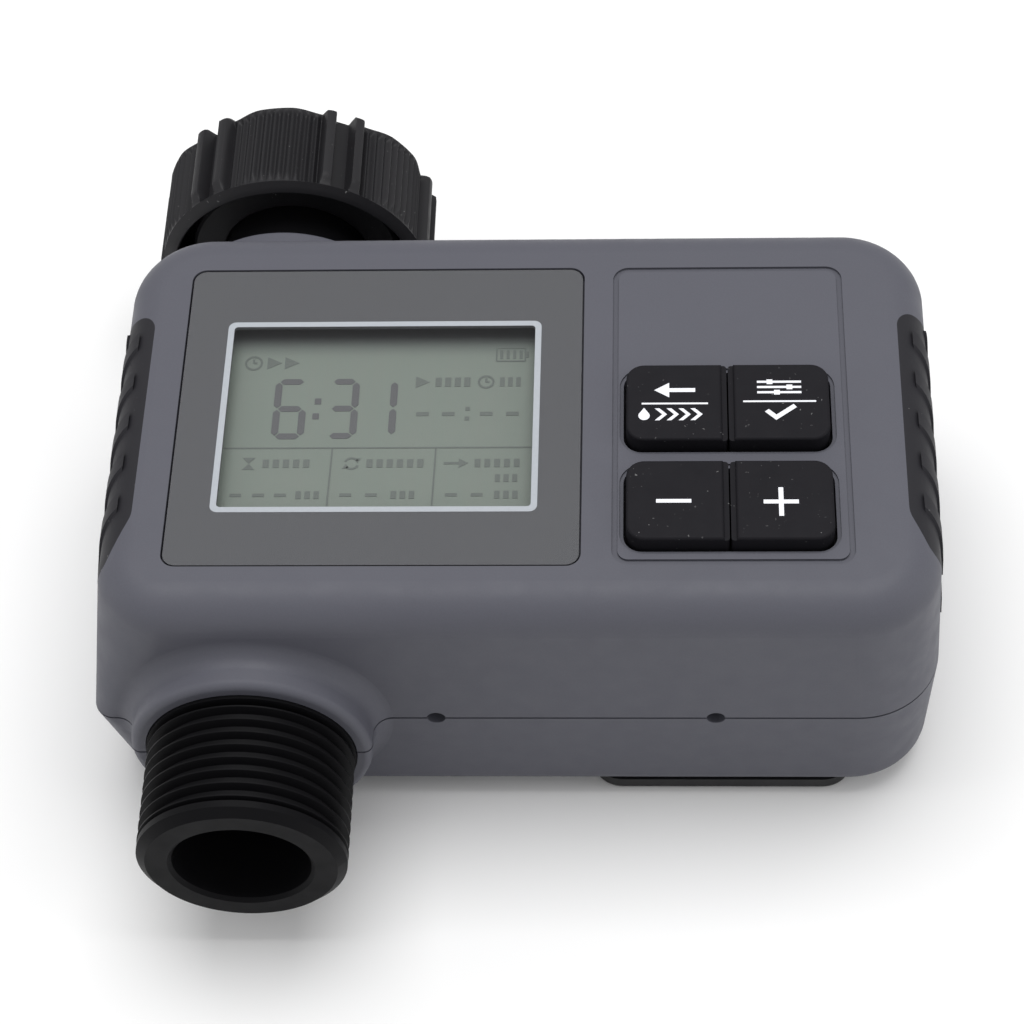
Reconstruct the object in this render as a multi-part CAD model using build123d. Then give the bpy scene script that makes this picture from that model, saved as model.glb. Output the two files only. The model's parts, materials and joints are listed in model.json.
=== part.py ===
from build123d import *
import math
import os

# Drip irrigation timer: a battery water timer that screws onto a tap and carries a hose thread.
# Millimetres. It lies on its back: +X to the right, +Y towards the tap nut, +Z out of the display.
# Origin: middle of the body in X, middle of the overall length in Y, resting plane in Z.

# ---------------------------------------------------------------- driving dimensions
overall_length = 111.23          # outlet end to nut end, along Y
body_width = 108.8
body_depth = 63.38
body_y = -2.135                  # centre of the body along Y
corner_radius = 10.7             # plan corners
boss_corner_radius = 2.6         # the corner beside the outlet boss, where the two shells meet
top_round = 5.1
rear_round = 2.5
left_draft = 3.1                 # how much each side leans in above the parting plane
right_draft = 1.35
rear_draft = 0.6
nut_radius = 19.7
axis_x = -33.54                  # water way, parallel to Y
axis_z = nut_radius
parting_z = axis_z
rear_z = 2.54                    # the rear shell's back; nut and battery cover stand lower
front_z = 43.14                  # the display face
wall = 2.2
front_edge_z = parting_z + 0.13  # the two shells' rims, with a shadow gap between them
rear_edge_z = parting_z - 0.2

out_y = -overall_length / 2      # outlet end
nut_far_y = overall_length / 2   # tap end
body_front_y = body_y - body_depth / 2

# Outlet thread, G 3/4: 26.44 mm over the crests, 14 threads an inch
thread_pitch = 1.814
thread_crest_r = 13.22
thread_root_r = 12.15
thread_start = 2.6
thread_turns = 8
bore_r = 8.72
collar_r = 13.4
collar_y = -38.95                # end of the grey boss
boss_r = 15.4
boss_blend = 2.4
boss_rounding = 1.1
neck_r = 15.2
neck_y = 35.9
neck_blend = 1.5

# Ball valve
ball_y = -4.0
ball_r = 10.6
ball_bore_r = 7.6
chamber_r = 13.6
chamber_bore_r = 11.2
chamber_y0 = -17.5
chamber_y1 = 9.5
tube_r = 10.2
tube_bore_r = 8.0
flange_y0 = 46.5
flange_y1 = 48.7
flange_r = 11.85
stem_r = 3.0
running_gap = 0.05
body_gap = 0.3                   # between curved faces of bodies that move past each other

# Swivel nut
nut_near_y = 42.0
nut_rim = 2.6
nut_core_r = 14.9
nut_wall_r = 17.5
lip_y0 = 43.2
lip_y1 = 46.1
lip_gap = 0.1
socket_crest_r = 12.12
socket_root_r = 13.25
socket_mouth_r = 13.35
socket_mouth = 1.9
sectors = 6
pad_turn = 18.9                  # angle of the first narrow recess from +Z towards +X
recess_half = 5.2                # half angle of a narrow recess, degrees
rib_half = 2.2                   # half angle of a raised rib
pad_grooves = 10

# Display and keys
display = (-43.45, 8.7, -26.5, 21.7)          # x low, x high, y low, y high of the window plate
lcd_frame = (-37.95, 3.15, -18.15, 12.7)      # outside of the white line
lcd_opening = (-40.0, 5.2, -20.2, 14.8)       # hole in the shell under the plate
key_panel = (12.45, 42.45, -26.3, 21.65)
window_thick = 1.2
mask_thick = 0.2
window_gap = 0.25
plate_corner = 1.9
panel_corner = 2.1
panel_groove = 0.75
key_x = 27.1
key_row_y = (-2.44, -17.81)
key_row_width = 25.7
key_row_height = 12.1
key_split = 0.2
key_shelf = 0.65                 # the lowered strip along each side of the split
key_shelf_drop = 0.45
key_proud = 2.0
key_top_round = 0.4
key_gap = 0.35
key_corner = 2.3
key_dish = 0.85                  # shallow recess round each row
key_names = (("key_back", "key_set"), ("key_minus", "key_plus"))

# Circuit board stack
board_z = 33.6
board_thick = 1.6
board = (-46.0, 46.0, -27.0, 22.5)
lcd_z = 37.6
lcd_thick = 2.8
lcd = (-39.5, 4.7, -19.7, 14.3)
board_screw_xy = ((-44.3, -25.0), (-44.3, 20.4), (44.3, -24.9), (44.3, 20.3))
shell_screw_xy = ((-50.0, -21.5), (-50.0, 17.2), (50.0, -21.5), (50.0, 17.2))

# Side grips: each side's inner edge, where that edge ends, the turn below it and the outer end
grip_shape = {
    -1: (47.7, -18.6, (50.7, -25.4), -30.0),
    1: (49.3, -18.4, (52.0, -23.8), -25.0),
}
grip_high_y = 14.2
grip_z0 = 23.3
grip_depth = 1.5
grip_ribs = 6
grip_rib_pitch = 6.55
grip_rib_proud = 0.55

# Battery compartment, two AA cells
cell_r = 7.15
cell_length = 49.0
cell_x = (19.4, 34.1)
cell_z = 9.5
cell_y = -2.6
box_inner = (11.95, 41.55, -29.6, 24.4)
box_wall = 1.2
box_top = 17.7
cover = (9.5, 44.0, -32.55, 28.3)
cover_thick = 2.34
cover_lip = 2.2

# Gear train, module 0.5, all axes parallel to X
module = 0.5
addendum = 0.6 * module
dedendum = 1.1 * module
tooth_slack = 0.06
pressure_angle = math.radians(20)
stem_yz = (ball_y, axis_z)
output_teeth = 44
wheel_teeth = 40
small_teeth = 12
motor_teeth = 10
second_angle = 5.0
first_angle = 198.0
motor_angle = 44.1
gear_layers = {"output": (-13.6, -10.6), "second": (-10.2, -8.2), "first": (-7.8, -5.8)}
gearbox_x = (-15.2, -4.2)
gearbox_y = (-17.2, 22.2)
gearbox_z = (4.9, 32.7)
gearbox_wall = 1.1
plate_thick = 1.2
gearbox_screw_yz = ((-14.4, 7.6), (-14.4, 30.0), (20.2, 7.6), (20.2, 30.0))
motor_r = 10.0
motor_flat = 7.5
motor_length = 25.0


# ---------------------------------------------------------------- helpers
def along_y(x, z, radius, y0, y1):
    return Pos(x, (y0 + y1) / 2, z) * Rot(X=90) * Cylinder(radius, y1 - y0)


def along_x(y, z, radius, x0, x1):
    return Pos((x0 + x1) / 2, y, z) * Rot(Y=90) * Cylinder(radius, x1 - x0)


def along_z(x, y, radius, z0, z1):
    return Pos(x, y, (z0 + z1) / 2) * Cylinder(radius, z1 - z0)


def block(x0, x1, y0, y1, z0, z1):
    return Pos((x0 + x1) / 2, (y0 + y1) / 2, (z0 + z1) / 2) * Box(x1 - x0, y1 - y0, z1 - z0)


def rounded_block(rect, z0, z1, radius, grow=0.0):
    """A plate with rounded plan corners; grow moves every side outwards."""
    x0, x1, y0, y1 = rect
    outline = RectangleRounded(x1 - x0 + 2 * grow, y1 - y0 + 2 * grow, radius)
    return Pos((x0 + x1) / 2, (y0 + y1) / 2, z0) * extrude(outline, z1 - z0)


def turned(points, x=axis_x, z=axis_z):
    """A turned piece from (radius, y) points, on an axis parallel to Y."""
    outline = make_face(Polyline(*points, close=True))
    return Pos(x, 0, z) * revolve(outline, Axis.Y)


def rim_edges(solid, radius, y0, y1):
    """Edges of a solid that lie at one radius from the water way between two Y values."""
    found = []
    for edge in solid.edges():
        middle = edge.position_at(0.5)
        from_axis = math.hypot(middle.X - axis_x, middle.Z - axis_z)
        if abs(from_axis - radius) < 0.05 and y0 < middle.Y < y1:
            found.append(edge)
    return found


def joined(solids):
    return Compound(children=list(solids))


# ---------------------------------------------------------------- casing
def plan_outline(z, inset, boss_corner, left=0.0, right=0.0, ends=0.0):
    """The body's plan, moved inwards by inset, with each side moved in further by its lean."""
    x0 = inset + left - body_width / 2
    x1 = body_width / 2 - inset - right
    shape = Rectangle(x1 - x0, body_depth - 2 * inset - 2 * ends)
    plain = shape.vertices().sort_by(lambda v: v.X + v.Y)[1:]
    shape = fillet(plain, corner_radius - inset)
    boss_side = shape.vertices().sort_by(lambda v: v.X + v.Y)[:1]
    shape = fillet(boss_side, max(boss_corner - inset, 0.5))
    return Pos((x0 + x1) / 2, body_y, z) * shape


def half_block(inset, upper):
    """One half of the body's outline, moved inwards by inset."""
    base = plan_outline(parting_z, inset, boss_corner_radius)
    if upper:
        far_z = front_z - inset
        share = (far_z - parting_z) / (front_z - parting_z)
        far = plan_outline(far_z, inset, corner_radius, left_draft * share, right_draft * share)
        round_r = top_round - inset
    else:
        far_z = rear_z + inset
        far = plan_outline(far_z, inset, corner_radius, rear_draft, rear_draft, rear_draft)
        round_r = rear_round - inset
    sections = [base, far] if upper else [far, base]
    half = loft(sections, ruled=True)
    end_face = half.faces().sort_by(Axis.Z)[-1 if upper else 0]
    return fillet(end_face.edges(), round_r)


def body_block(inset):
    return half_block(inset, True) + half_block(inset, False)


def outer_body():
    """The closed outside shape: box, blended outlet boss and inlet neck."""
    body = body_block(0) + along_y(axis_x, axis_z, boss_r, collar_y, -10)
    body = fillet(rim_edges(body, boss_r, collar_y + 1, -15), boss_blend)
    body += along_y(axis_x, axis_z, neck_r, 15, neck_y)
    body = fillet(rim_edges(body, neck_r, 16, neck_y - 1), neck_blend)
    body = fillet(rim_edges(body, boss_r, collar_y - 1, collar_y + 0.5), boss_rounding)
    return fillet(rim_edges(body, neck_r, neck_y - 0.5, neck_y + 1), 0.5)


def hollowed(half, upper):
    """A half body with its cavity and the round ways for outlet collar and inlet tube."""
    shell = half - half_block(wall, upper)
    shell -= along_y(axis_x, axis_z, collar_r + 0.1, collar_y - 1, -20)
    shell -= along_y(axis_x, axis_z, neck_r - wall, 15, neck_y - wall)
    return shell - along_y(axis_x, axis_z, tube_r + body_gap, 30, neck_y + 1)


def weep_holes():
    return [along_y(x, parting_z, 1.2, body_front_y - 1, body_front_y + 1.6) for x in (-10.2, 25.55)]


def way_clearance():
    """Space round the water way that the shells' tongue and seal stay out of."""
    return along_y(axis_x, axis_z, 17.5, -45, 45)


def ring_between(inset_out, inset_in, z0, z1):
    """An upright band that follows the wall at the parting plane, between two insets."""
    def slab(inset, low, high):
        return extrude(plan_outline(low, inset + 0.05, boss_corner_radius), high - low)
    return slab(inset_out, z0, z1) - slab(inset_in, z0 - 1, z1 + 1)


def grip_mask(side):
    """The region of the body's side that a rubber grip fills; side is -1 or +1."""
    edge_x, edge_end, turn, outer_end = grip_shape[side]
    outer = 60
    points = [(edge_x, edge_end), (edge_x, grip_high_y), (outer, grip_high_y), (outer, outer_end), turn]
    outline = make_face(Polyline(*points, close=True))
    outline = fillet([v for v in outline.vertices() if abs(v.X - edge_x) < 0.1 and v.Y > 0], 2.6)
    outline = fillet([v for v in outline.vertices() if abs(v.X - edge_x) < 0.1 and v.Y < 0], 4.0)
    outline = fillet([v for v in outline.vertices() if math.dist((v.X, v.Y), turn) < 0.1], 2.5)
    mask = Pos(0, 0, grip_z0) * extrude(outline, front_z - grip_z0 + 5)
    return mask if side > 0 else mirror(mask, about=Plane.YZ)


def make_front_shell(body):
    front = hollowed(body - block(-70, 70, -70, 70, -20, front_edge_z), True)
    front -= rounded_block(display, front_z - window_thick - mask_thick, front_z + 1, plate_corner)
    front -= rounded_block(lcd_opening, front_z - 5, front_z, 1.5)
    groove = rounded_block(key_panel, front_z - 0.35, front_z + 1, panel_corner)
    groove -= rounded_block(key_panel, front_z - 1, front_z + 2, panel_corner - panel_groove, -panel_groove)
    front -= groove
    for row in key_row_y:
        opening = key_row_rect(row)
        front -= rounded_block(opening, front_z - 5, front_z + 1, key_corner, key_gap)
        front -= rounded_block(opening, front_z - 0.3, front_z + 1, key_corner + 0.7, key_dish)
    for x, y in shell_screw_xy:
        front += along_z(x, y, 2.75, parting_z + 1.6, parting_z + 11)
        front -= along_z(x, y, 1.3, parting_z, parting_z + 8.5)
    for x, y in board_screw_xy:
        front += along_z(x, y, 2.4, board_z + board_thick, front_z - wall + 0.2)
        front -= along_z(x, y, 0.9, board_z, board_z + 6.5)
    for side in (-1, 1):
        front -= grip_mask(side) - body_block(grip_depth + 0.1)
    front -= ring_between(1.05, wall + 0.5, parting_z - 1, parting_z + 2.4)
    for hole in weep_holes():
        front -= hole
    return front


def make_rear_shell(body):
    rear = hollowed(body - block(-70, 70, -70, 70, rear_edge_z, 80), False)
    rear += ring_between(1.2, wall + 0.3, rear_edge_z - 1, parting_z + 1.5) - way_clearance()
    x0, x1, y0, y1 = box_inner
    rear -= block(x0, x1, y0, y1, rear_z - 3, rear_z + wall + 1)
    for x, y in shell_screw_xy:
        rear += along_z(x, y, 3.6, rear_z + 1.5, rear_z + 6.5) + along_z(x, y, 2.75, rear_z + 5, parting_z + 1.5)
        rear -= along_z(x, y, 2.9, rear_z - 2, rear_z + 3.4) + along_z(x, y, 1.5, rear_z, parting_z + 3)
    for hole in weep_holes():
        rear -= hole
    return rear


def make_shell_seal():
    return ring_between(1.2, wall - 0.2, parting_z + 1.55, parting_z + 2.2) - way_clearance()


def grip_rib(side, index):
    """A hooked bar that wraps over the side's top edge, slanting towards the outlet."""
    y = grip_high_y - 2.6 - index * grip_rib_pitch
    tip = grip_shape[side][0] + 2.1
    slab = Pos(side * (tip + 3.1), y, front_z - 7) * Rot(X=-38) * Box(9.6, 1.9, 26)
    foot = block(min(side * tip, side * 60), max(side * tip, side * 60), -60, 60, grip_z0 + 1.6, 60)
    return slab & foot


def make_grip(side):
    mask = grip_mask(side)
    grip = (mask & body_block(0)) - body_block(grip_depth)
    inside = block(-60, 60, grip_shape[side][2][1] + 2.2, grip_high_y - 0.9, grip_z0, 60)
    ribs = [grip_rib(side, i) for i in range(grip_ribs)]
    raised = body_block(-grip_rib_proud) - body_block(grip_depth - 0.2)
    for rib in ribs:
        grip += rib & raised & mask & inside
    return grip


def make_shell_screws():
    screws = []
    for x, y in shell_screw_xy:
        head = along_z(x, y, 2.5, rear_z + 1.2, rear_z + 3.3)
        shank = along_z(x, y, 1.25, rear_z + 3.3, rear_z + 24.9)
        slot = block(x - 1.5, x + 1.5, y - 0.25, y + 0.25, rear_z, rear_z + 2.1)
        cross = block(x - 0.25, x + 0.25, y - 1.5, y + 1.5, rear_z, rear_z + 2.1)
        screws.append(head + shank - slot - cross)
    return joined(screws)


# ---------------------------------------------------------------- display
def make_display_window():
    top = rounded_block(display, front_z - window_thick, front_z, plate_corner - 0.2, -window_gap)
    upper = top.faces().sort_by(Axis.Z)[-1]
    return chamfer(upper.edges(), 0.2)


def make_window_mask():
    z1 = front_z - window_thick
    film = rounded_block(display, z1 - mask_thick + 0.02, z1, plate_corner - 0.2, -window_gap)
    return film - rounded_block(lcd_frame, z1 - 2, z1 + 1, 1.0, -0.4)


def make_lcd_panel():
    return rounded_block(lcd, lcd_z, lcd_z + lcd_thick, 0.4)


def make_lcd_holder():
    """A frame that stands on the board and holds the glass by its edge."""
    frame = rounded_block(lcd, board_z + board_thick, lcd_z + lcd_thick + 0.4, 1.5, 2.4)
    frame -= rounded_block(lcd, lcd_z - 0.1, lcd_z + 6, 0.5, 0.15)
    return frame - rounded_block(lcd, board_z, lcd_z + 1, 0.6, -1.6)


def make_lcd_connectors():
    """Two rubber contact strips between the board and the glass, along its long edges."""
    x0, x1, y0, y1 = lcd
    bottom, top = board_z + board_thick, lcd_z
    strips = [block(x0 + 4, x1 - 4, y, y + 1.6, bottom, top) for y in (y0 + 1.9, y1 - 3.5)]
    return joined(strips)


def make_circuit_board():
    plate = rounded_block(board, board_z, board_z + board_thick, 2.0)
    for x, y in board_screw_xy:
        plate -= along_z(x, y, 1.15, board_z - 1, board_z + 3)
    return plate


def make_board_screws():
    screws = []
    for x, y in board_screw_xy:
        head = along_z(x, y, 1.9, board_z - 1.4, board_z)
        shank = along_z(x, y, 0.85, board_z, board_z + 6)
        screws.append(head + shank - block(x - 1.2, x + 1.2, y - 0.2, y + 0.2, board_z - 2, board_z - 0.7))
    return joined(screws)


def make_driver_chips():
    """The controller and the motor driver, soldered under and beside the keys."""
    low = board_z - 1.6
    controller = block(14, 24, -12, -2, low, board_z)
    driver = block(28, 33, -10, -4, low, board_z)
    capacitor = along_z(38, -6, 2.5, board_z - 7, board_z)
    return joined([controller, driver, capacitor])


# ---------------------------------------------------------------- keys
def key_row_rect(row_y):
    half_w, half_h = key_row_width / 2, key_row_height / 2
    return (key_x - half_w, key_x + half_w, row_y - half_h, row_y + half_h)


def key_centre(row, column):
    quarter = (key_row_width + key_split) / 4
    return key_x + (2 * column - 1) * quarter, key_row_y[row]


def make_key(row, column):
    """One half of a rocker row: proud cap, hidden flange and a stub onto the switch."""
    x, y = key_centre(row, column)
    width = (key_row_width - key_split) / 2
    outline = Rectangle(width, key_row_height)
    outside = outline.vertices().sort_by(Axis.X)
    outside = outside[-2:] if column == 1 else outside[:2]
    outline = fillet(outside, key_corner)
    inside = outline.vertices().sort_by(Axis.X)
    inside = inside[:2] if column == 1 else inside[-2:]
    outline = fillet(inside, 0.45)
    bottom = front_z - wall - 0.94
    cap = Pos(x, y, bottom) * extrude(outline, front_z + key_proud - bottom)
    split_x = x + (width / 2 if column == 0 else -width / 2)
    cap -= block(split_x - key_shelf, split_x + key_shelf, y - 10, y + 10, front_z + key_proud - key_shelf_drop, 60)
    cap = fillet(cap.faces().sort_by(Axis.Z)[-1].edges(), key_top_round)
    flange_x = width / 2 + (0.7 if column == 1 else 0)
    flange = block(x - width / 2, x + flange_x, y - 5.6, y + 5.6, bottom, bottom + 0.7)
    if column == 0:
        flange = block(x - width / 2 - 0.7, x + width / 2, y - 5.6, y + 5.6, bottom, bottom + 0.7)
    return cap + flange + along_z(x, y, 1.55, board_z + 4.5, bottom + 0.1)


def make_keypad_mat():
    """The rubber sheet that seals the key openings from inside."""
    rect = (key_x - 14.6, key_x + 14.4, key_row_y[1] - 8.0, key_row_y[0] + 8.0)
    mat = rounded_block(rect, board_z + 4.6, board_z + 5.4, 2.0)
    for row in range(2):
        for column in range(2):
            x, y = key_centre(row, column)
            mat -= along_z(x, y, 2.15, board_z + 4, board_z + 6)
    skirt = rounded_block(rect, board_z + 5.4, front_z - wall, 2.0)
    return mat + (skirt - rounded_block(rect, board_z + 5, front_z, 1.4, -0.7))


def make_tact_switches():
    switches = []
    bottom = board_z + board_thick
    for row in range(2):
        for column in range(2):
            x, y = key_centre(row, column)
            case = block(x - 3, x + 3, y - 3, y + 3, bottom, bottom + 2.4)
            switches.append(case - along_z(x, y, 1.75, bottom + 0.3, bottom + 3))
    return joined(switches)


def make_switch_plunger(row, column):
    x, y = key_centre(row, column)
    return along_z(x, y, 1.7, board_z + board_thick + 1.2, board_z + 4.5)


# ---------------------------------------------------------------- valve
def outlet_thread_profile():
    """(radius, y) points of the threaded spigot, from the end ring to the collar."""
    points = [(bore_r, out_y + 0.5), (bore_r + 0.5, out_y), (12.0, out_y), (thread_crest_r - 0.05, out_y + 1.0)]
    points += [(thread_crest_r - 0.05, out_y + 1.9), (thread_root_r, out_y + 2.15)]
    for turn in range(thread_turns):
        crest = out_y + thread_start + turn * thread_pitch
        if turn > 0:
            points.append((thread_root_r, crest - 0.55))
        points += [(thread_crest_r, crest - 0.1), (thread_crest_r, crest + 0.1), (thread_root_r, crest + 0.55)]
    last = out_y + thread_start + (thread_turns - 1) * thread_pitch
    points += [(thread_root_r, last + 0.75), (collar_r, last + 0.95), (collar_r, -31.0)]
    return points


def make_valve_body():
    """Outlet spigot, collar and ball chamber in one moulding, with the stem's gland."""
    points = outlet_thread_profile()
    points += [(chamber_r, -30.5), (chamber_r, chamber_y1), (chamber_bore_r, chamber_y1)]
    points += [(chamber_bore_r, chamber_y0), (bore_r, chamber_y0 - 2.0)]
    body = turned(points)
    gland_x = axis_x + chamber_bore_r + 0.6
    body += along_x(ball_y, axis_z, 6.0, axis_x + 12.3, gearbox_x[0])
    body -= along_x(ball_y, axis_z, stem_r + running_gap, gland_x - 3, gearbox_x[0] + 1)
    return body - along_x(ball_y, axis_z, 4.4, gearbox_x[0] - 2.4, gearbox_x[0] + 1)


def make_ball():
    """The closing ball: its bore stands across the water way while the valve is shut."""
    ball = Pos(axis_x, ball_y, axis_z) * Sphere(ball_r)
    ball -= along_z(axis_x, ball_y, ball_bore_r, axis_z - 12, axis_z + 12)
    slot_x = axis_x + ball_r - 2.2
    return ball - block(slot_x, slot_x + 4, ball_y - 1.6, ball_y + 1.6, axis_z - 12, axis_z + 12)


def make_ball_seat(side):
    """A ring with a hollow that follows the ball; side -1 is the outlet's."""
    flat_y = chamber_y0 if side < 0 else chamber_y1 - 2.0
    near_y = ball_y + side * 5.2
    low, high = min(flat_y, near_y), max(flat_y, near_y)
    ring = along_y(axis_x, axis_z, chamber_bore_r, low, high)
    ring -= along_y(axis_x, axis_z, tube_bore_r, low - 1, high + 1)
    return ring - Pos(axis_x, ball_y, axis_z) * Sphere(ball_r + body_gap)


def make_ball_stem():
    x1 = gear_layers["output"][1]
    tang_x = axis_x + ball_r - 2.2
    stem = along_x(ball_y, axis_z, stem_r, axis_x + ball_r + 0.6, x1)
    tang = block(tang_x + 0.1, axis_x + ball_r + 0.8, ball_y - 1.5, ball_y + 1.5, axis_z - 2.6, axis_z + 2.6)
    return stem + tang


def make_stem_seal():
    """O-ring and its gland washer round the stem."""
    x1 = gearbox_x[0]
    ring = along_x(ball_y, axis_z, 4.4, x1 - 2.3, x1 - 0.1)
    return ring - along_x(ball_y, axis_z, stem_r + 0.1, x1 - 3, x1 + 1)


def make_inlet_tube():
    """Closes the chamber, passes through the neck and holds the swivel nut by its flange."""
    nose = chamber_y1 - 2.0
    points = [(tube_bore_r, nose), (chamber_bore_r - 0.05, nose), (chamber_bore_r - 0.05, nose + 0.5)]
    points += [(chamber_bore_r - 0.9, nose + 0.5), (chamber_bore_r - 0.9, nose + 1.5)]
    points += [(chamber_bore_r - 0.05, nose + 1.5), (chamber_bore_r - 0.05, chamber_y1)]
    points += [(chamber_r, chamber_y1), (chamber_r, chamber_y1 + 3.0), (tube_r, chamber_y1 + 3.0)]
    points += [(tube_r, flange_y0), (flange_r, flange_y0), (flange_r, flange_y1), (tube_bore_r, flange_y1)]
    return turned(points)


def make_inlet_o_ring():
    nose = chamber_y1 - 1.5
    ring = along_y(axis_x, axis_z, chamber_bore_r - 0.02, nose + 0.03, nose + 0.97)
    return ring - along_y(axis_x, axis_z, chamber_bore_r - 0.88, nose - 1, nose + 2)


def make_filter_screen():
    """A mesh cup that hangs in the inlet, with a rim under the washer."""
    top = flange_y1
    points = [(0, top - 12.6), (6.6, top - 12.6), (7.4, top - 11.8), (7.6, top - 0.2), (7.6, top)]
    points += [(11.2, top), (11.2, top + 0.5), (7.1, top + 0.5), (6.9, top - 11.6), (6.3, top - 12.1)]
    points += [(0, top - 12.1)]
    return turned(points)


def make_inlet_washer():
    y0 = flange_y1 + 0.5
    washer = along_y(axis_x, axis_z, 11.8, y0, y0 + 2.4)
    washer -= along_y(axis_x, axis_z, 7.3, y0 - 1, y0 + 4)
    return fillet(washer.edges(), 0.4)


# ---------------------------------------------------------------- swivel nut
def nut_sector(angle, half, radius_in, radius_out, y0, y1):
    """A radial block at an angle from +Z towards +X, as wide as half each way at radius_out."""
    width = 2 * radius_out * math.sin(math.radians(half))
    bar = Pos(0, (y0 + y1) / 2, (radius_in + radius_out) / 2) * Box(width, y1 - y0, radius_out - radius_in)
    bar = fillet(bar.edges().filter_by(Axis.Z).sort_by(Axis.Y)[:2], min(0.8, width / 4))
    return Pos(axis_x, 0, axis_z) * Rot(Y=angle) * bar


def socket_profile():
    """(radius, y) points of the threaded socket from its mouth to the lip, all inside the nut."""
    mouth = nut_far_y - socket_mouth
    points = [(socket_mouth_r, nut_far_y), (socket_mouth_r, mouth)]
    crest = mouth - 0.9
    while crest > lip_y1 + 1.2:
        points += [(socket_root_r, crest + 0.75), (socket_crest_r, crest + 0.2)]
        points += [(socket_crest_r, crest - 0.2), (socket_root_r, crest - 0.75)]
        crest -= thread_pitch
    return points + [(socket_root_r, lip_y1), (tube_r + lip_gap, lip_y1)]


def make_inlet_nut():
    """Double walled nut: gripping skirt outside, threaded socket inside, lip behind the flange."""
    far, near = nut_far_y, nut_near_y
    points = socket_profile()
    points += [(tube_r + lip_gap, lip_y0), (nut_core_r, lip_y0), (nut_core_r, far - 4.0), (nut_wall_r, far - 4.0)]
    points += [(nut_wall_r, near), (nut_radius - 1.0, near), (nut_radius - 0.4, near + 0.7)]
    points += [(nut_radius, near + 1.6), (nut_radius, far - 0.8), (nut_radius - 0.8, far)]
    nut = turned(points)
    y0, y1 = near + nut_rim, far + 1
    step = 360 / sectors
    pad_half = (step - 2 * recess_half - 4 * rib_half) / 2
    for sector in range(sectors):
        centre = pad_turn + sector * step
        nut -= nut_sector(centre, recess_half, nut_radius - 1.3, nut_radius + 1, y0, y1)
        pad_centre = centre + step / 2
        groove_step = 2 * pad_half / pad_grooves
        for groove in range(pad_grooves):
            angle = pad_centre - pad_half + (groove + 0.5) * groove_step
            nut -= nut_sector(angle, 0.8, nut_radius - 0.75, nut_radius + 1, y0, y1)
    for web in range(sectors):
        bar = block(-0.7, 0.7, near + 2.5, far - 3.5, nut_core_r - 0.4, nut_wall_r + 0.4)
        nut += Pos(axis_x, 0, axis_z) * Rot(Y=pad_turn + 12 + web * step) * bar
    return nut


# ---------------------------------------------------------------- gears and motor
def gear_outline(teeth, phase):
    """Closed outline of a spur gear in its own plane; a tooth is centred at phase (radians)."""
    pitch_r = module * teeth / 2
    base_r = pitch_r * math.cos(pressure_angle)
    tip_r = pitch_r + addendum
    root_r = pitch_r - dedendum
    half_pitch = math.pi / (2 * teeth) - tooth_slack / pitch_r
    roll = math.tan(pressure_angle) - pressure_angle

    def half_angle(radius):
        if radius <= base_r:
            return half_pitch + roll
        pressure = math.acos(base_r / radius)
        return half_pitch + roll - (math.tan(pressure) - pressure)

    start_r = max(base_r, root_r)
    radii = [root_r, start_r, (start_r + tip_r) / 2, tip_r]
    if base_r < root_r:
        radii = [root_r, (root_r + tip_r) / 2, tip_r]
    points = []
    for tooth in range(teeth):
        centre = phase + tooth * 2 * math.pi / teeth
        left = [(r, centre - half_angle(r)) for r in radii]
        right = [(r, centre + half_angle(r)) for r in reversed(radii)]
        points += left + right
    return [(r * math.cos(a), r * math.sin(a)) for r, a in points]


def gear(teeth, centre, phase, x0, x1):
    outline = make_face(Polyline(*gear_outline(teeth, phase), close=True))
    return Pos(x0, centre[0], centre[1]) * extrude(Plane.YZ * outline, x1 - x0)


def offset_point(centre, distance, degrees):
    angle = math.radians(degrees)
    return (centre[0] + distance * math.cos(angle), centre[1] + distance * math.sin(angle))


def meshed_phase(line_degrees, teeth_a, phase_a, teeth_b):
    """Phase of gear b so that its gap meets a tooth of gear a along the line from a to b."""
    line = math.radians(line_degrees)
    pitch_a, pitch_b = 2 * math.pi / teeth_a, 2 * math.pi / teeth_b
    along_a = (line - phase_a) / pitch_a
    return line + math.pi - pitch_b * (0.5 - along_a)


second_yz = offset_point(stem_yz, module * (output_teeth + small_teeth) / 2, second_angle)
first_yz = offset_point(second_yz, module * (wheel_teeth + small_teeth) / 2, first_angle)
motor_yz = offset_point(first_yz, module * (wheel_teeth + motor_teeth) / 2, motor_angle)
second_phase = meshed_phase(second_angle, output_teeth, 0, small_teeth)
first_phase = meshed_phase(first_angle, wheel_teeth, second_phase, small_teeth)
motor_phase = meshed_phase(motor_angle, wheel_teeth, first_phase, motor_teeth)
pin_r = 1.0


def make_output_gear():
    x0, x1 = gear_layers["output"]
    wheel = gear(output_teeth, stem_yz, 0, x0, x1)
    return wheel - along_x(stem_yz[0], stem_yz[1], stem_r, x0 - 1, x1 + 1)


def make_second_gear():
    y, z = second_yz
    x0, x1 = gear_layers["second"]
    pair = gear(wheel_teeth, second_yz, second_phase, x0, x1)
    pair += gear(small_teeth, second_yz, second_phase, gear_layers["output"][0] + 0.2, x0)
    pair += along_x(y, z, 2.0, x1, gearbox_x[1] - 0.4)
    return pair - along_x(y, z, pin_r + running_gap, x0 - 5, x1 + 5)


def make_first_gear():
    y, z = first_yz
    x0, x1 = gear_layers["first"]
    pair = gear(wheel_teeth, first_yz, first_phase, x0, x1)
    pair += gear(small_teeth, first_yz, first_phase, gear_layers["second"][0] - 0.1, x0)
    pair += along_x(y, z, 2.0, x1, gearbox_x[1] - 0.4)
    return pair - along_x(y, z, pin_r + running_gap, x0 - 5, x1 + 5)


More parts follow.
